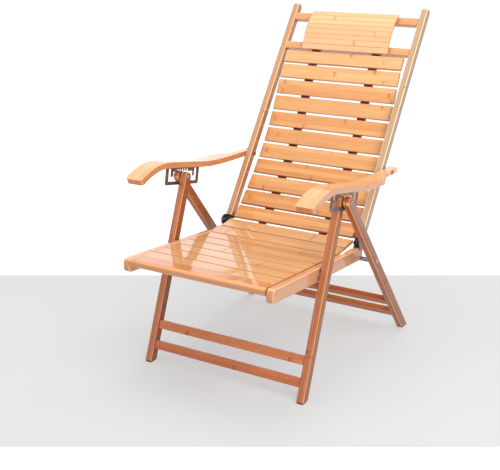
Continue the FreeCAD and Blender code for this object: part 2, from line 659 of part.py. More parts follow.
def rack_screw(s):
    under = ARM_OVER_APEX * arm_slope[0] - ARM_THICK / 2
    y, z = on_rack(s, under - RACK_THICK)
    return Part.makeCone(SCREW_RADIUS, SCREW_RADIUS * 0.7, SCREW_HEAD,
                         Vector(rack_out - RACK_FLANGE * 0.55, y, z), Vector(0, -arm_up[0], -arm_up[1]))


pair("armrest", armrest().cut(hole(arm_pivot)))
pair("rack", rack())
screws = [rack_screw(s) for s in (RACK_SPAN[0] + 12, -30.0, 34.0, RACK_SPAN[1] - 12)]
keep("rack_screws", *(screws + [mirror(s) for s in screws]))
both("arm_bolts", fastener(arm_pivot, arm_in + ARM_REAR_WIDTH, stile_in - HEAD_HEIGHT * 0.7))
both("arm_nuts", nut(arm_pivot, stile_in, -1))
both("arm_washers", washer(arm_pivot, stile_out, arm_in))

# origin to the bottom centre, then one file per piece

box = FreeCAD.BoundBox()
for shape in parts.values():
    box.add(shape.BoundBox)
move = Vector(-(box.XMin + box.XMax) / 2, -(box.YMin + box.YMax) / 2, -box.ZMin)
os.makedirs("parts", exist_ok=True)
for name, shape in parts.items():
    shape.translate(move)
    shape.exportStep(os.path.join("parts", name + ".step"))

print("nodes", len(parts), "size", round(box.XLength, 1), round(box.YLength, 1), round(box.ZLength, 1))
for name, place in (("apex", apex), ("seat_pivot", seat_pivot), ("hook", hook), ("hinge", hinge),
                    ("arm_pivot", arm_pivot)):
    print(name, round(place[0] + move.y, 3), round(place[1] + move.z, 3))
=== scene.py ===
"""Dresses the bamboo folding recliner and sets it in a plain studio."""
import json
import logging
import math
from dataclasses import dataclass
from enum import Enum
from typing import Any, Callable, Iterable, Optional, Sequence, Union

import bpy
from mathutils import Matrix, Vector

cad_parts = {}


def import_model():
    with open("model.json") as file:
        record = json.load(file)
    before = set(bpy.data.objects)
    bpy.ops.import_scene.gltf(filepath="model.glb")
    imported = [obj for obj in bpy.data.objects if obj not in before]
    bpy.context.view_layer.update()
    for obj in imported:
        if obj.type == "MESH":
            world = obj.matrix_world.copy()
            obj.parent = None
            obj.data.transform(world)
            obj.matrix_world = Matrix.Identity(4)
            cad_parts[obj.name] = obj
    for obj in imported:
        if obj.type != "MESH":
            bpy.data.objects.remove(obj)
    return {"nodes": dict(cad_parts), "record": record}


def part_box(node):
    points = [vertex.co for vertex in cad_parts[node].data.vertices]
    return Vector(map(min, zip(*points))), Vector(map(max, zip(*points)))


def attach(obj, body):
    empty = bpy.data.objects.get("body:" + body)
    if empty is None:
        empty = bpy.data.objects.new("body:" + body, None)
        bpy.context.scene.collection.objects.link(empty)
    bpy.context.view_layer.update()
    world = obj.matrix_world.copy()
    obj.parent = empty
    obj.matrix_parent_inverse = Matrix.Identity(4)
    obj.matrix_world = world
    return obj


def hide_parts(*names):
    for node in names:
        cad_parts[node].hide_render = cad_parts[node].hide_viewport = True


LOG = logging.getLogger("recliner")
Triple = tuple[float, float, float]
Colour = tuple[float, float, float]

MM = 0.001
BACK_LEAN = math.radians(34.4)
SEAT_SLOPE = math.radians(3.9)
APEX = (0.0, -153.323 * MM, 504.0 * MM)
HINGE = (0.0, 33.319 * MM, 330.488 * MM)
FRONT_LEG_WAY = (0.0, -190.7, -504.0)
REAR_LEG_WAY = (0.0, 429.6, -504.0)
SEAT_WAY = (0.0, math.cos(SEAT_SLOPE), -math.sin(SEAT_SLOPE))
RAIL_NOSE = 4.6 * MM          # rounding of the seat rails' front ends
MERGE = 0.00001               # corners nearer than this are one
FLAT_TURN = math.radians(0.4)  # faces that turn less than this are one
SOFT_TURN = math.radians(38)   # edges that turn less than this shade smoothly


class Side(Enum):
    """The two sides of the chair, as signs along X."""

    LEFT = -1
    RIGHT = 1


def unit(vector: Sequence[float]) -> Vector:
    """Returns the vector at length 1."""
    return Vector(vector).normalized()


def linear(red: int, green: int, blue: int) -> Colour:
    """Turns a display colour of 0 to 255 into the linear one that shaders take."""
    def one(value: float) -> float:
        """Linear value of one channel."""
        return value / 12.92 if value <= 0.04045 else ((value + 0.055) / 1.055) ** 2.4

    return (one(red / 255), one(green / 255), one(blue / 255))


class Value:
    """An output socket that holds a number, with the usual operators as Math nodes."""

    def __init__(self, graph: "Graph", socket: bpy.types.NodeSocket) -> None:
        """Keeps the graph and the socket."""
        self.graph = graph
        self.socket = socket

    def _math(self, operation: str, *values: Any) -> "Value":
        """Adds a Math node on the values."""
        return Value(self.graph, self.graph.node("ShaderNodeMath", {"operation": operation},
                                                 list(values)).outputs[0])

    def __add__(self, other: Any) -> "Value":
        """Sum."""
        return self._math("ADD", self, other)

    def __sub__(self, other: Any) -> "Value":
        """Difference."""
        return self._math("SUBTRACT", self, other)

    def __rsub__(self, other: Any) -> "Value":
        """Difference, from a plain number."""
        return self._math("SUBTRACT", other, self)

    def __mul__(self, other: Any) -> "Value":
        """Product."""
        return self._math("MULTIPLY", self, other)

    def __truediv__(self, other: Any) -> "Value":
        """Quotient."""
        return self._math("DIVIDE", self, other)

    __radd__ = __add__
    __rmul__ = __mul__

    def call(self, operation: str, *others: Any) -> "Value":
        """Any other Math operation, such as FLOOR or ABSOLUTE."""
        return self._math(operation, self, *others)

    def step(self, low: float, high: float) -> "Value":
        """Smooth step from 0 at low to 1 at high."""
        settings = {"interpolation_type": "SMOOTHSTEP"}
        made = self.graph.node("ShaderNodeMapRange", settings,
                               {"Value": self, "From Min": low, "From Max": high})
        return Value(self.graph, made.outputs[0])


class Graph:
    """A material's node tree under construction."""

    def __init__(self, name: str) -> None:
        """Makes an empty material of that name."""
        self.material = bpy.data.materials.new(name)
        self.material.use_nodes = True
        self.tree = self.material.node_tree
        self.tree.nodes.clear()
        self.output = self.tree.nodes.new("ShaderNodeOutputMaterial")

    def node(self, kind: str, settings: Optional[dict[str, Any]] = None,
             inputs: Any = None) -> bpy.types.Node:
        """Adds a node.

        Args:
            kind: the node's type.
            settings: its properties, set before the sockets.
            inputs: values or links, by socket name or in socket order.

        Returns:
            The new node.
        """
        made = self.tree.nodes.new(kind)
        for key, value in (settings or {}).items():
            setattr(made, key, value)
        pairs = inputs.items() if isinstance(inputs, dict) else enumerate(inputs or [])
        for key, value in pairs:
            socket = made.inputs[key]
            if isinstance(value, Value):
                self.tree.links.new(value.socket, socket)
            elif isinstance(value, bpy.types.NodeSocket):
                self.tree.links.new(value, socket)
            else:
                socket.default_value = value
        return made

    def position(self) -> bpy.types.NodeSocket:
        """The place on the object, in metres."""
        return self.node("ShaderNodeTexCoord").outputs["Object"]

    def along(self, place: bpy.types.NodeSocket, way: Sequence[float], origin: Sequence[float]) -> Value:
        """Distance of the place from the origin along a unit direction."""
        direction = unit(way)
        dot = self.node("ShaderNodeVectorMath", {"operation": "DOT_PRODUCT"}, [place, tuple(direction)])
        return Value(self, dot.outputs["Value"]) - direction.dot(Vector(origin))

    def join(self, x: Any, y: Any, z: Any) -> bpy.types.NodeSocket:
        """A vector from three numbers."""
        return self.node("ShaderNodeCombineXYZ", {}, [x, y, z]).outputs[0]

    def noise(self, vector: bpy.types.NodeSocket, detail: float = 2.0, roughness: float = 0.5) -> Value:
        """Noise at a scale of 1, about 0.5 in the middle."""
        inputs = {"Vector": vector, "Scale": 1.0, "Detail": detail, "Roughness": roughness}
        made = self.node("ShaderNodeTexNoise", {}, inputs)
        return Value(self, made.outputs[0])

    def chance(self, vector: bpy.types.NodeSocket) -> Value:
        """The same random number from 0 to 1 wherever the vector is the same."""
        return Value(self, self.node("ShaderNodeTexWhiteNoise", {}, {"Vector": vector}).outputs["Value"])

    def mix(self, amount: Any, first: Any, second: Any) -> bpy.types.NodeSocket:
        """First colour where amount is 0, second where it is 1."""
        first = (*first, 1.0) if isinstance(first, tuple) else first
        second = (*second, 1.0) if isinstance(second, tuple) else second
        return self.node("ShaderNodeMix", {"data_type": "RGBA"}, {0: amount, 6: first, 7: second}).outputs[2]

    def scale(self, colour: bpy.types.NodeSocket, amount: Value) -> bpy.types.NodeSocket:
        """The colour times a number."""
        made = self.node("ShaderNodeVectorMath", {"operation": "SCALE"}, {"Vector": colour, "Scale": amount})
        return made.outputs[0]

    def bump(self, height: Value, depth: float, strength: float = 1.0) -> bpy.types.NodeSocket:
        """Normal from a height of 0 to 1 that stands for depth metres."""
        return self.node("ShaderNodeBump", {},
                         {"Strength": strength, "Distance": depth, "Height": height}).outputs[0]

    def surface(self, inputs: dict[str, Any]) -> bpy.types.Material:
        """Ends the tree in a Principled shader with these inputs and returns the material."""
        shader = self.node("ShaderNodeBsdfPrincipled", {}, inputs)
        self.tree.links.new(shader.outputs[0], self.output.inputs[0])
        return self.material


@dataclass(frozen=True)
class Tone:
    """Colours of one kind of bamboo strip, light to dark, and its node marks."""

    pale: Colour
    deep: Colour
    mark: Colour
    seam: Colour

    def towards(self, other: "Tone", share: float) -> "Tone":
        """The tone that lies that share of the way to the other."""
        def between(mine: Colour, theirs: Colour) -> Colour:
            """One colour of the new tone."""
            return tuple(a + (b - a) * share for a, b in zip(mine, theirs))

        return Tone(between(self.pale, other.pale), between(self.deep, other.deep),
                    between(self.mark, other.mark), between(self.seam, other.seam))


BACK_TONE = Tone(linear(248, 204, 144), linear(226, 154, 90), linear(160, 84, 34), linear(146, 80, 36))
LOW_TONE = Tone(linear(238, 174, 100), linear(206, 124, 54), linear(150, 76, 28), linear(132, 68, 28))
HEAD_TONE = Tone(linear(243, 192, 140), linear(232, 172, 120), linear(190, 116, 64), linear(120, 64, 30))
SEAT_TONE = Tone(linear(255, 208, 148), linear(246, 180, 112), linear(164, 88, 38), linear(112, 54, 22))
EDGE_TONE = Tone(linear(238, 168, 104), linear(212, 130, 70), linear(150, 76, 34), linear(120, 60, 28))
FRAME_TONE = Tone(linear(254, 182, 120), linear(222, 112, 64), linear(116, 44, 18), linear(84, 30, 12))
BAR_TONE = Tone(linear(236, 148, 84), linear(200, 100, 50), linear(116, 44, 18), linear(84, 30, 12))
ARM_TONE = Tone(linear(246, 190, 136), linear(230, 158, 98), linear(170, 92, 44), linear(156, 82, 38))
RAIL_TONE = Tone(linear(248, 196, 148), linear(236, 170, 122), linear(170, 92, 48), linear(150, 78, 38))
STILE_TONE = Tone(linear(255, 236, 194), linear(255, 214, 160), linear(146, 72, 32), linear(104, 42, 18))
PLUG_TONE = Tone(linear(108, 48, 22), linear(88, 36, 16), linear(70, 28, 12), linear(60, 24, 10))
# Painted shade: the battens and cross bars behind and under the slats take this dark tone in place of the
# shade that falls on them.
PAINTED_SHADE_TONE = Tone(linear(112, 40, 18), linear(86, 28, 12), linear(58, 18, 8), linear(40, 14, 6))


def extent(node: bpy.types.Object, way: Vector) -> tuple[float, float]:
    """Least and greatest distance of the node's mesh along a unit direction."""
    marks = [vertex.co.dot(way) for vertex in node.data.vertices]
    return min(marks), max(marks)


class Grain:
    """Measures of bamboo's pattern, in metres, cycles per metre and shares."""

    FIBRE = (5.0, 1100.0)       # along the fibres and across them
    CLOUD = (9.0, 70.0)
    WOBBLE = (60.0, 0.006)      # how fast and how far a node mark wanders
    MARK = (0.0008, 0.0052)     # half widths of a mark's dark middle and of all of it
    HALO = (0.004, 0.016)       # how far beside the mark its pale band lies, and its half width
    SIDE_SHADE = (0.0022, 0.0002)      # depth of the painted shade along the long sides
    END = (0.0018, 0.0004)      # depth of the darkening at each end: darker end grain, and painted shade where a piece meets the next
    END_FACING = (0.62, 0.80)   # a face that looks this much along the fibres is end grain
    BUMP = 0.00012


@dataclass(frozen=True)
class Bamboo:
    """Lacquered laminated bamboo whose strips run along one direction.

    Attributes:
        tone: the strip colours.
        way: direction of the fibres.
        across: direction over the strips' width.
        strips: strips side by side over the piece.
        layers: layers over its depth.
        node_step: usual distance between two node marks of a strip.
        seed: shifts every random choice.
        seam: width of the joints between strips.
        seam_depth: how deep those joints show, from 0 to 1.
        rim: strength of the painted shade along the long sides, standing in for the shade in the gaps
            between neighbouring pieces, from 0 to 1.
        coat: weight of the lacquer.
        coat_ior: how strongly the lacquer mirrors.
        depth_grain: fineness of the fibres through the depth, low on a piece that curves.
    """

    tone: Tone
    way: Triple
    across: Triple
    strips: int = 2
    layers: int = 2
    node_step: float = 0.26
    seed: float = 0.0
    seam: float = 0.0009
    seam_depth: float = 0.45
    rim: float = 0.0
    coat: float = 1.0
    coat_ior: float = 1.5
    depth_grain: float = 1100.0

    def material(self, node: bpy.types.Object) -> bpy.types.Material:
        """Builds the finish to fit one piece.

        Args:
            node: the piece, whose name the material takes.

        Returns:
            The material.
        """
        graph = Graph(f"{node.name} bamboo")
        place = graph.position()
        way, across = unit(self.way), unit(self.across)
        up = way.cross(across)
        (u0, u1), (v0, v1), (w0, w1) = (extent(node, axis) for axis in (way, across, up))
        width, layer_deep = (v1 - v0) / self.strips, (w1 - w0) / self.layers
        u = graph.along(place, way, way * u0)
        v = graph.along(place, across, across * v0)
        w = graph.along(place, up, up * w0)
        strip = (v / width).call("FLOOR")
        layer = (w / layer_deep).call("FLOOR")
        pick = graph.chance(graph.join(strip, layer, self.seed))
        offset = graph.chance(graph.join(strip, self.seed + 7.3, 2.1))
        fibre = graph.noise(graph.join(u * Grain.FIBRE[0], v * Grain.FIBRE[1],
                                       w * self.depth_grain + pick * 40.0), 3.0, 0.6)
        cloud = graph.noise(graph.join(u * Grain.CLOUD[0] + pick * 30.0, v * Grain.CLOUD[1],
                                       w * Grain.CLOUD[1] + self.seed), 3.0, 0.55)
        # node marks: a soft dark band over the strip, with a pale one just beside it
        fast, far = Grain.WOBBLE
        wobble = graph.noise(graph.join(strip * 3.7 + self.seed, v * fast, w * fast), 1.0) * far
        turn = (u + wobble) / self.node_step + offset * 3.0
        off = (turn - turn.call("FLOOR") - 0.5) * self.node_step
        mark = 1.0 - off.call("ABSOLUTE").step(*Grain.MARK)
        halo = 1.0 - (off - Grain.HALO[0]).call("ABSOLUTE").step(0.0, Grain.HALO[1])
        strength = graph.chance(graph.join(strip, turn.call("FLOOR"), self.seed + 3.0)).step(0.2, 1.0)
        mark = mark * strength * (cloud.step(0.25, 0.6) * 0.6 + 0.4)
        # joints between strips and layers
        edge = (v / width - strip - 0.5).call("ABSOLUTE")
        seam = edge.step(0.5 - self.seam / width, 0.5 - 0.25 * self.seam / width)
        side = (w / layer_deep - layer - 0.5).call("ABSOLUTE").step(0.5 - 0.7 * self.seam / layer_deep, 0.5)
        seam = seam.call("MAXIMUM", side * 0.7)
        # painted shade along the long sides; at each end, partly the darker end grain and partly painted
        # shade where the piece meets the next
        half, reach = (v1 - v0) / 2, (u1 - u0) / 2
        rim = (v - half).call("ABSOLUTE").step(half - Grain.SIDE_SHADE[0], half - Grain.SIDE_SHADE[1]) * self.rim
        end_grain_and_shade = (u - reach).call("ABSOLUTE").step(reach - Grain.END[0], reach - Grain.END[1]) * 0.6
        normal = graph.node("ShaderNodeTexCoord").outputs["Normal"]
        looks = graph.along(normal, way, (0, 0, 0)).call("ABSOLUTE")
        end_grain_and_shade = end_grain_and_shade.call("MAXIMUM", looks.step(*Grain.END_FACING) * 0.6)
        shade = pick * 0.66 + cloud.step(0.3, 0.75) * 0.34
        colour = graph.mix(shade, self.tone.pale, self.tone.deep)
        colour = graph.mix(halo * strength * 0.35, colour, self.tone.deep)
        colour = graph.mix(mark * 0.7, colour, self.tone.mark)
        colour = graph.mix(seam * self.seam_depth, colour, self.tone.seam)
        # darken the long sides and the end faces: painted shade, together with the darker end grain
        colour = graph.mix(rim.call("MAXIMUM", end_grain_and_shade), colour, self.tone.mark)
        colour = graph.scale(colour, fibre * 0.22 + 0.89)
        height = 1.0 - seam * 0.8 + fibre * 0.10 + mark * 0.25
        rough = 0.34 + fibre * 0.16 + mark * 0.08
        return graph.surface({
            "Base Color": colour, "Roughness": rough, "Normal": graph.bump(height, Grain.BUMP, 0.5),
            "Specular IOR Level": 0.2, "Coat Weight": self.coat, "Coat Roughness": 0.06,
            "Coat IOR": self.coat_ior,
        })


@dataclass(frozen=True)
class Zinc:
    """Zinc-plated or galvanised steel, slightly blotchy, with fine scratches."""

    pale: Colour = linear(182, 176, 178)
    deep: Colour = linear(132, 126, 130)
    rough: float = 0.30

    def material(self, node: bpy.types.Object) -> bpy.types.Material:
        """Builds the finish for that piece."""
        graph = Graph(f"{node.name} finish")
        place = graph.position()
        u, v, w = (graph.along(place, way, (0, 0, 0)) for way in ((1, 0, 0), (0, 1, 0), (0, 0, 1)))
        spangle = graph.noise(graph.join(u * 160.0, v * 160.0, w * 160.0), 2.0, 0.5)
        scratch = graph.noise(graph.join(u * 900.0, v * 40.0, w * 1400.0), 2.0, 0.6)
        colour = graph.mix(spangle.step(0.35, 0.7), self.pale, self.deep)
        return graph.surface({
            "Base Color": colour, "Metallic": 1.0,
            "Roughness": scratch * 0.14 + spangle * 0.1 + (self.rough - 0.12),
            "Normal": graph.bump(scratch, 0.00002, 0.6),
        })


@dataclass(frozen=True)
class BlackPlastic:
    """Moulded black plastic with a fine matt grain."""

    colour: Colour = (0.012, 0.011, 0.011)

    def material(self, node: bpy.types.Object) -> bpy.types.Material:
        """Builds the finish for that piece."""
        graph = Graph(f"{node.name} finish")
        place = graph.position()
        grain = graph.noise(graph.node("ShaderNodeVectorMath", {"operation": "SCALE"},
                                       {"Vector": place, "Scale": 2600.0}).outputs[0], 2.0)
        wear = graph.noise(graph.node("ShaderNodeVectorMath", {"operation": "SCALE"},
                                      {"Vector": place, "Scale": 90.0}).outputs[0], 3.0)
        colour = graph.mix(wear.step(0.45, 0.8), self.colour, (0.035, 0.033, 0.032))
        return graph.surface({"Base Color": colour, "Roughness": wear * 0.25 + 0.38,
                              "Normal": graph.bump(grain, 0.00003, 0.5)})


def active(name: str) -> bpy.types.Object:
    """Names the object that the last operator made and returns it."""
    made = bpy.context.active_object
    made.name = made.data.name = name
    return made


def only(piece: bpy.types.Object) -> None:
    """Makes the piece the one that is selected and active."""
    bpy.ops.object.select_all(action="DESELECT")
    piece.select_set(True)
    bpy.context.view_layer.objects.active = piece


def round_nose(piece: bpy.types.Object, way: Vector, radius: float) -> None:
    """Rounds the edges of the piece's end that lies least far along a direction.

    Args:
        piece: the piece, which has a flat end there.
        way: unit direction along the piece.
        radius: size of the rounding.
    """
    places = [vertex.co.dot(way) for vertex in piece.data.vertices]
    limit = min(places) + 0.3 * MM
    only(piece)
    bpy.ops.object.mode_set(mode="EDIT")
    bpy.ops.mesh.select_mode(type="EDGE")
    bpy.ops.mesh.select_all(action="DESELECT")
    bpy.ops.object.mode_set(mode="OBJECT")
    for edge in piece.data.edges:
        edge.select = all(places[index] < limit for index in edge.vertices)
    bpy.ops.object.mode_set(mode="EDIT")
    bpy.ops.mesh.bevel(offset=radius, segments=4, profile=0.5, clamp_overlap=True)
    bpy.ops.object.mode_set(mode="OBJECT")


def rounded(node: bpy.types.Object, body: str, nose: float = 0.0) -> bpy.types.Object:
    """Makes a copy of a wooden node whose rounded edges shade smoothly.

    Args:
        node: the node that the copy stands for.
        body: the body that it moves with.
        nose: rounding of a seat rail's front end.

    Returns:
        The copy.
    """
    piece = bpy.data.objects.new(f"{node.name}_sanded", node.data.copy())
    bpy.context.scene.collection.objects.link(piece)
    only(piece)
    bpy.ops.object.mode_set(mode="EDIT")
    bpy.ops.mesh.select_all(action="SELECT")
    bpy.ops.mesh.remove_doubles(threshold=MERGE)
    bpy.ops.mesh.dissolve_limited(angle_limit=FLAT_TURN)
    bpy.ops.object.mode_set(mode="OBJECT")
    if nose:
        round_nose(piece, unit(SEAT_WAY), nose)
    bpy.ops.object.shade_smooth_by_angle(angle=SOFT_TURN)
    weights = piece.modifiers.new("weights", "WEIGHTED_NORMAL")
    weights.keep_sharp = True
    bpy.ops.object.modifier_apply(modifier=weights.name)
    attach(piece, body)
    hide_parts(node.name)
    return piece


def join(name: str, pieces: Sequence[bpy.types.Object]) -> bpy.types.Object:
    """Joins the pieces into one object of that name."""
    bpy.ops.object.select_all(action="DESELECT")
    for piece in pieces:
        piece.select_set(True)
    bpy.context.view_layer.objects.active = pieces[0]
    bpy.ops.object.join()
    return active(name)


def select_faces(piece: bpy.types.Object, wanted: Callable[[bpy.types.MeshPolygon], bool]) -> None:
    """Selects the faces that are wanted and enters edit mode on them."""
    only(piece)
    bpy.ops.object.mode_set(mode="EDIT")
    bpy.ops.mesh.select_mode(type="FACE")
    bpy.ops.mesh.select_all(action="DESELECT")
    bpy.ops.object.mode_set(mode="OBJECT")
    for face in piece.data.polygons:
        face.select = wanted(face)
    bpy.ops.object.mode_set(mode="EDIT")


def button(name: str, radius: float, rise: float, crown: float) -> bpy.types.Object:
    """Makes a low round button on the XY plane, with a soft rim and a slight crown.

    Args:
        name: its name.
        radius: its radius.
        rise: height of its rim.
        crown: extra height of its middle.

    Returns:
        The button, with its middle at the origin.
    """
    bpy.ops.object.select_all(action="DESELECT")
    bpy.ops.mesh.primitive_cylinder_add(vertices=24, radius=radius, depth=2 * rise)
    piece = active(name)
    for inset, lift in ((radius * 0.22, rise * 0.5 + crown * 0.6), (radius * 0.4, crown * 0.4)):
        top = max(vertex.co.z for vertex in piece.data.vertices)
        select_faces(piece, lambda face: face.center.z > top - 0.00001)
        bpy.ops.mesh.inset(thickness=inset, depth=0.0)
        bpy.ops.transform.translate(value=(0.0, 0.0, lift))
        bpy.ops.object.mode_set(mode="OBJECT")
    bpy.ops.object.shade_smooth_by_angle(angle=math.radians(50))
    return piece


def screw(name: str, radius: float) -> bpy.types.Object:
    """Makes a low domed screw head with a cross recess, on the XY plane."""
    head = button(name, radius, radius * 0.16, radius * 0.16)
    for turn in (0.0, 90.0):
        bpy.ops.object.select_all(action="DESELECT")
        bpy.ops.mesh.primitive_cube_add(size=1.0, location=(0.0, 0.0, radius * 0.45),
                                        rotation=(0.0, 0.0, math.radians(turn)))
        cutter = active("recess")
        cutter.scale = (radius * 1.15, radius * 0.24, radius * 0.5)
        only(head)
        cut = head.modifiers.new("recess", "BOOLEAN")
        cut.operation, cut.object, cut.solver = "DIFFERENCE", cutter, "EXACT"
        bpy.ops.object.modifier_apply(modifier=cut.name)
        bpy.data.objects.remove(cutter, do_unlink=True)
    return head


def spread(name: str, master: bpy.types.Object, places: Sequence[tuple[Vector, Vector]]) -> bpy.types.Object:
    """Sets copies of a button at many places and joins them.

    Args:
        name: name of the joined object.
        master: the button, used up by this.
        places: for each copy, its middle and the way that it faces.

    Returns:
        The joined object, unturned and at the origin.
    """
    copies = []
    for place, facing in places:
        copy = bpy.data.objects.new(name, master.data.copy())
        bpy.context.scene.collection.objects.link(copy)
        copy.location = place
        copy.rotation_mode = "QUATERNION"
        copy.rotation_quaternion = facing.to_track_quat("Z", "Y")
        copies.append(copy)
    bpy.data.objects.remove(master, do_unlink=True)
    joined = join(name, copies)
    bpy.ops.object.transform_apply(location=True, rotation=True, scale=True)
    return joined


def middle(name: str) -> Vector:
    """Middle of a node's box."""
    low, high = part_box(name)
    return (low + high) / 2


def facing(node: bpy.types.Object, way: Triple) -> Vector:
    """Normal of the node's broad face that looks most along a direction."""
    faces = [face for face in node.data.polygons if face.normal.dot(Vector(way)) > 0.5]
    return max(faces, key=lambda face: face.area).normal.copy()


def dress(node: bpy.types.Object, finish: Union[Bamboo, Zinc, BlackPlastic]) -> None:
    """Gives the node the finish in all its slots."""
    material = finish.material(node)
    if not node.data.materials:
        node.data.materials.append(material)
    for index in range(len(node.data.materials)):
        node.data.materials[index] = material


@dataclass(frozen=True)
class Lamp:
    """A square soft lamp: where it hangs, the point that it faces, its side's length and its power."""

    name: str
    place: Triple
    aim: Triple
    size: float
    watts: float


LAMPS = (
    Lamp("key", (2.3, -0.9, 3.1), (0.0, 0.0, 0.4), 1.8, 50.0),
    Lamp("top", (-0.2, 0.3, 3.4), (0.0, 0.0, 0.4), 2.2, 46.0),
    Lamp("front", (2.5, -2.5, 0.9), (0.0, 0.0, 0.3), 1.8, 48.0),
    Lamp("fill", (-2.2, -2.6, 1.2), (0.0, 0.0, 0.3), 2.2, 20.0),
    Lamp("rear", (-0.5, 3.2, 2.1), (0.0, 0.0, 0.5), 2.4, 20.0),
)


@dataclass
class Studio:
    """Camera, lamps and floor.

    Attributes:
        azimuth: how far the camera stands to the right of the front, in degrees.
        elevation: how far it looks down, in degrees.
        place: where it stands.
        lens: its focal length in millimetres.
        shift: its shift, as shares of the frame's width.
        floor_near: distance from the camera, along the floor, where the grey band starts.
        floor_far: distance where it ends.
        ambient: strength of the light from all round.
        band_glow: brightness of the band's own.
        floor_shown: how pale the floor is to the camera, where the shadow falls.
        floor_lit: how pale it is for the light that it throws back.
        gloss: colour and strength of what the lacquer mirrors.
    """

    azimuth: float = 31.684
    elevation: float = 17.119
    place: Triple = (1.2887, -2.350223, 1.18095)
    lens: float = 68.64
    shift: tuple[float, float] = (0.0234, -0.0193)
    floor_near: float = 2.028
    floor_far: float = 3.227
    ambient: float = 0.66
    band_glow: float = 0.46
    floor_shown: float = 0.287
    floor_lit: float = 0.45
    gloss: tuple[Colour, float] = ((1.0, 0.87, 0.90), 1.24)

    def camera(self) -> bpy.types.Object:
        """Adds the camera at the photograph's viewing angle."""
        data = bpy.data.cameras.new("camera")
        data.lens, data.sensor_width = self.lens, 36.0
        data.shift_x, data.shift_y = self.shift
        data.clip_start, data.clip_end = 0.05, 60.0
        camera = bpy.data.objects.new("camera", data)
        camera.location = self.place
        camera.rotation_euler = (math.radians(90 - self.elevation), 0.0, math.radians(self.azimuth))
        bpy.context.scene.collection.objects.link(camera)
        bpy.context.scene.camera = camera
        return camera

    def world(self) -> None:
        """Plain light all round, and plain white where the eye or a gloss looks past the floor."""
        world = bpy.data.worlds.new("studio")
        world.use_nodes = True
        tree = world.node_tree
        tree.nodes.clear()
        path = tree.nodes.new("ShaderNodeLightPath")
        light = tree.nodes.new("ShaderNodeBackground")
        light.inputs["Strength"].default_value = self.ambient
        for ray, colour, strength in (("Is Glossy Ray", *self.gloss),
                                      ("Is Camera Ray", (1.0, 1.0, 1.0), 1.02)):
            shown = tree.nodes.new("ShaderNodeBackground")
            shown.inputs["Color"].default_value = (*colour, 1.0)
            shown.inputs["Strength"].default_value = strength
            mix = tree.nodes.new("ShaderNodeMixShader")
            tree.links.new(path.outputs[ray], mix.inputs[0])
            tree.links.new(light.outputs[0], mix.inputs[1])
            tree.links.new(shown.outputs[0], mix.inputs[2])
            light = mix
        out = tree.nodes.new("ShaderNodeOutputWorld")
        tree.links.new(light.outputs[0], out.inputs[0])
        bpy.context.scene.world = world

    def hang(self, lamp: Lamp) -> None:
        """Adds a lamp, which leaves no bright patch of its own in the lacquer."""
        data = bpy.data.lights.new(lamp.name, "AREA")
        data.shape, data.size, data.energy = "SQUARE", lamp.size, lamp.watts
        hung = bpy.data.objects.new(lamp.name, data)
        hung.location = lamp.place
        hung.rotation_mode = "QUATERNION"
        hung.rotation_quaternion = (Vector(lamp.aim) - Vector(lamp.place)).to_track_quat("-Z", "Y")
        hung.visible_camera = hung.visible_glossy = False
        bpy.context.scene.collection.objects.link(hung)

    def floor(self) -> None:
        """Adds the floor: a pale grey band under the chair, white beyond, with the chair's soft shadow."""
        bpy.ops.object.select_all(action="DESELECT")
        bpy.ops.mesh.primitive_plane_add(size=16.0, location=(0.0, 0.0, -0.0004))
        floor = bpy.context.active_object
        floor.name = "floor"
        graph = Graph("pale floor")
        place = graph.position()
        a = math.radians(self.azimuth)
        distance = graph.along(place, (-math.sin(a), math.cos(a), 0.0), (self.place[0], self.place[1], 0.0))
        band = distance.step(self.floor_near - 0.002, self.floor_near + 0.002)
        band = band * (1.0 - distance.step(self.floor_far - 0.004, self.floor_far + 0.004))
        glow = graph.mix(band, (1.0, 1.0, 1.0), (self.band_glow,) * 3)
        path = graph.node("ShaderNodeLightPath")
        glossy = Value(graph, path.outputs["Is Glossy Ray"])
        seen = Value(graph, path.outputs["Is Camera Ray"]).call("MAXIMUM", glossy)
        lit = graph.node("ShaderNodeBsdfDiffuse", {}, {"Color": (*[self.floor_lit] * 3, 1.0)})
        shown = graph.node("ShaderNodeBsdfDiffuse", {}, {"Color": (*[self.floor_shown] * 3, 1.0)})
        own = graph.node("ShaderNodeEmission", {}, {"Color": glow, "Strength": 1.0})
        total = graph.node("ShaderNodeAddShader", {}, [shown.outputs[0], own.outputs[0]])
        final = graph.node("ShaderNodeMixShader", {}, {0: seen, 1: lit.outputs[0], 2: total.outputs[0]})
        graph.tree.links.new(final.outputs[0], graph.output.inputs[0])
        floor.data.materials.append(graph.material)

    def build(self) -> None:
        """Adds the whole studio."""
        self.camera()
        self.world()
        for lamp in LAMPS:
            self.hang(lamp)
        self.floor()
        bpy.context.scene.view_settings.view_transform = "Standard"
        LOG.info("studio: camera, lamps and floor")


@dataclass
class Legs:
    """Front and rear leg frames with their stretchers."""

    nodes: dict[str, bpy.types.Object]

    def build(self) -> None:
        """Dresses the legs."""
        for index, (kind, way) in enumerate((("front", FRONT_LEG_WAY), ("rear", REAR_LEG_WAY))):
            for side in Side:
                finish = Bamboo(FRAME_TONE, way, (1, 0, 0), layers=3, node_step=0.31, seam=0.0015,
                                seam_depth=0.75, coat=0.6, seed=side.value * 3.0 + index * 1.7 + 5.0)
                dress(self.nodes[f"{kind}_leg_{side.name.lower()}"], finish)
            for place, level in enumerate(("upper", "lower")):
                finish = Bamboo(BAR_TONE, (1, 0, 0), way, node_step=0.33, coat=0.7,
                                seed=11.0 + index * 5 + place * 1.7)
                dress(self.nodes[f"{kind}_stretcher_{level}"], finish)
        LOG.info("legs and stretchers")


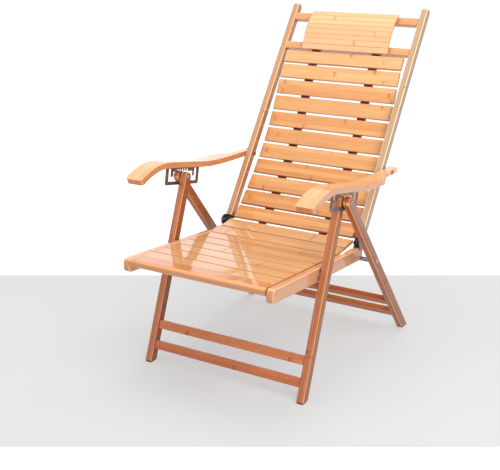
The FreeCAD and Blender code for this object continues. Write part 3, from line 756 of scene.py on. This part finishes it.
@dataclass
class Seat:
    """Seat rails, front rail, slats, battens and cross bars."""

    nodes: dict[str, bpy.types.Object]
    way: Triple = SEAT_WAY

    def build(self) -> None:
        """Dresses the seat."""
        for side in Side:
            dress(self.nodes[f"seat_rail_{side.name.lower()}"],
                  Bamboo(RAIL_TONE, self.way, (1, 0, 0), layers=4, node_step=0.28, seed=21.0 + side.value))
        dress(self.nodes["seat_front_rail"],
              Bamboo(EDGE_TONE, (1, 0, 0), self.way, node_step=0.4, seed=33.0, coat_ior=1.7))
        for number in range(1, 9):
            node = self.nodes[f"seat_slat_{number}"]
            across = facing(node, (0.0, 0.0, 1.0)).cross(Vector((1.0, 0.0, 0.0)))
            dress(node, Bamboo(SEAT_TONE, (1, 0, 0), tuple(across), strips=1, layers=1, node_step=0.34,
                               seed=40.0 + number * 1.37, rim=0.8, coat_ior=1.9))
        # The cross bars and battens under the seat slats are painted dark: painted shade.
        for name in ("seat_cross_bar_front", "seat_cross_bar_rear"):
            dress(self.nodes[name], Bamboo(PAINTED_SHADE_TONE, (1, 0, 0), self.way, seed=51.0, coat=0.2))
        dress(self.nodes["seat_battens"],
              Bamboo(PAINTED_SHADE_TONE, self.way, (1, 0, 0), strips=26, layers=3, seed=52.0,
                                                  coat=0.2))
        LOG.info("seat")


@dataclass
class Back:
    """Stiles, rails, slats, battens and headrest of the back."""

    nodes: dict[str, bpy.types.Object]
    up: Triple = (0.0, math.sin(BACK_LEAN), math.cos(BACK_LEAN))

    def build(self) -> None:
        """Dresses the back."""
        # The right stile keeps the pale tone and the left one is painted darker and more orange: painted
        # light on the right, painted shade on the left, as the light falls from the right.
        for side, share in ((Side.LEFT, 0.6), (Side.RIGHT, 0.0)):
            tone = STILE_TONE.towards(ARM_TONE, share)
            dress(self.nodes[f"back_stile_{side.name.lower()}"],
                  Bamboo(tone, self.up, (1, 0, 0), strips=3, layers=3, node_step=0.3, seed=61.0 + side.value,
                         seam=0.0009, seam_depth=0.8))
        for number in range(1, 12):
            node = self.nodes[f"back_slat_{number}"]
            across = facing(node, (0.0, -1.0, 0.6)).cross(Vector((1.0, 0.0, 0.0)))
            tone = BACK_TONE.towards(LOW_TONE, (number - 1) / 10 * 0.6 + (number * 0.37 % 1.0) * 0.4)
            dress(node, Bamboo(tone, (1, 0, 0), tuple(across), strips=3, layers=1, node_step=0.37,
                               seed=70.0 + number * 2.31, seam_depth=0.22, rim=0.7))
        for index, name in enumerate(("back_top_rail", "back_second_rail", "back_bottom_rail")):
            dress(self.nodes[name], Bamboo(ARM_TONE, (1, 0, 0), self.up, node_step=0.35, seed=101.0 + index))
        # The battens behind the back slats are painted dark: painted shade.
        dress(self.nodes["back_battens"],
              Bamboo(PAINTED_SHADE_TONE, self.up, (1, 0, 0), strips=18, layers=5, seed=111.0,
                                                  coat=0.1))
        dress(self.nodes["headrest_strips"],
              Bamboo(HEAD_TONE, (1, 0, 0), self.up, strips=8, layers=1, node_step=0.55,
                                                    seed=120.0, seam_depth=0.0))
        dress(self.nodes["headrest_ribs"], Bamboo(ARM_TONE, self.up, (1, 0, 0), strips=28, seed=121.0))
        LOG.info("back and headrest")


@dataclass
class Armrests:
    """Armrest boards and the adjuster racks under them."""

    nodes: dict[str, bpy.types.Object]

    def build(self) -> None:
        """Dresses the armrests."""
        for side in Side:
            dress(self.nodes[f"armrest_{side.name.lower()}"],
                  Bamboo(ARM_TONE, (0, 1, 0), (1, 0, 0), strips=3, layers=1, node_step=0.29,
                         seed=131.0 + side.value,
                         seam_depth=0.3, rim=0.35, depth_grain=40.0))
        plate = Zinc(linear(150, 136, 142), linear(96, 84, 92), rough=0.45)
        dress(self.nodes["rack_left"], plate)
        dress(self.nodes["rack_right"], plate)
        LOG.info("armrests and racks")


@dataclass
class Hardware:
    """Bolts, nuts, washers, sleeves, screws and black plastic parts."""

    nodes: dict[str, bpy.types.Object]

    def build(self) -> None:
        """Dresses the fasteners."""
        for name, node in self.nodes.items():
            if name.startswith("arm_"):
                dress(node, Zinc(linear(178, 140, 112), linear(132, 98, 76), rough=0.5))
            elif any(word in name for word in ("bolt", "nut", "washer", "sleeve", "screw")):
                dress(node, Zinc())
            elif name in ("front_foot_pads", "rear_foot_pads", "hinge_ears", "stile_shoes"):
                dress(node, BlackPlastic())
        LOG.info("hardware")


@dataclass
class Fixings:
    """Screw heads behind the slats, and the plug in each rear leg."""

    nodes: dict[str, bpy.types.Object]
    slat_half: float = 4.5 * MM
    batten: float = 12.0 * MM
    head: float = 3.6 * MM
    back_batten_x: float = 102.3 * MM
    seat_batten_x: float = 150.0 * MM
    leg_out: float = 281.5 * MM
    plug_down: float = 385.0 * MM
    plug: tuple[float, float, float] = (3.4 * MM, 0.12 * MM, 0.25 * MM)

    def screws(self, kind: str, numbers: Iterable[int], x: float, way: Triple) -> bpy.types.Object:
        """Adds the screws through one pair of battens.

        Args:
            kind: "back" or "seat".
            numbers: the slats that have them.
            x: the battens' distance from the middle.
            way: roughly where the screws face.

        Returns:
            The screws, joined.
        """
        places = []
        for number in numbers:
            name = f"{kind}_slat_{number}"
            normal = facing(self.nodes[name], way)
            centre = middle(name) + normal * (self.slat_half + self.batten)
            places += [(centre + Vector((side.value * x, 0.0, 0.0)), normal) for side in Side]
        return spread(f"{kind}_screws", screw("screw", self.head), places)

    def build(self) -> None:
        """Adds every screw and plug."""
        back = self.screws("back", range(2, 12), self.back_batten_x, (0.0, 1.0, -0.6))
        seat = self.screws("seat", (1, 2, 3, 4, 5, 6, 8), self.seat_batten_x, (0.0, 0.0, -1.0))
        for piece, body in ((back, "back"), (seat, "seat")):
            dress(piece, Zinc(rough=0.26))
            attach(piece, body)
        for side in Side:
            place = Vector((side.value * self.leg_out, 0.0,
                            0.0)) + Vector(APEX) + unit(REAR_LEG_WAY) * self.plug_down
            plug = spread(f"rear_leg_plug_{side.name.lower()}", button("plug", *self.plug),
                          [(place, Vector((side.value, 0.0, 0.0)))])
            dress(plug, Bamboo(PLUG_TONE, (1, 0, 0), (0, 1, 0), strips=1, layers=1, seed=151.0))
            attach(plug, "rear_frame")
        LOG.info("screws and plugs")


def main() -> None:
    """Builds the studio, then dresses the chair piece by piece."""
    logging.basicConfig(level=logging.INFO)
    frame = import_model()
    nodes = dict(frame["nodes"])
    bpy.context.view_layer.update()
    Studio().build()
    record = frame["record"]
    slots = {part["node"]: part["material_slot"] for part in record["subparts"]}
    wooden = [name for name, slot in slots.items() if "bamboo" in slot]
    for body, names in record["behaviour"]["bodies"].items():
        for name in names:
            if name in wooden:
                nose = RAIL_NOSE if name.startswith("seat_rail") else 0.0
                nodes[name] = rounded(nodes[name], body, nose)
    LOG.info("%d wooden pieces sanded", len(wooden))
    for part in (Legs(nodes), Seat(nodes), Back(nodes), Armrests(nodes), Hardware(nodes), Fixings(nodes)):
        part.build()


if __name__ == "__main__":
    main()
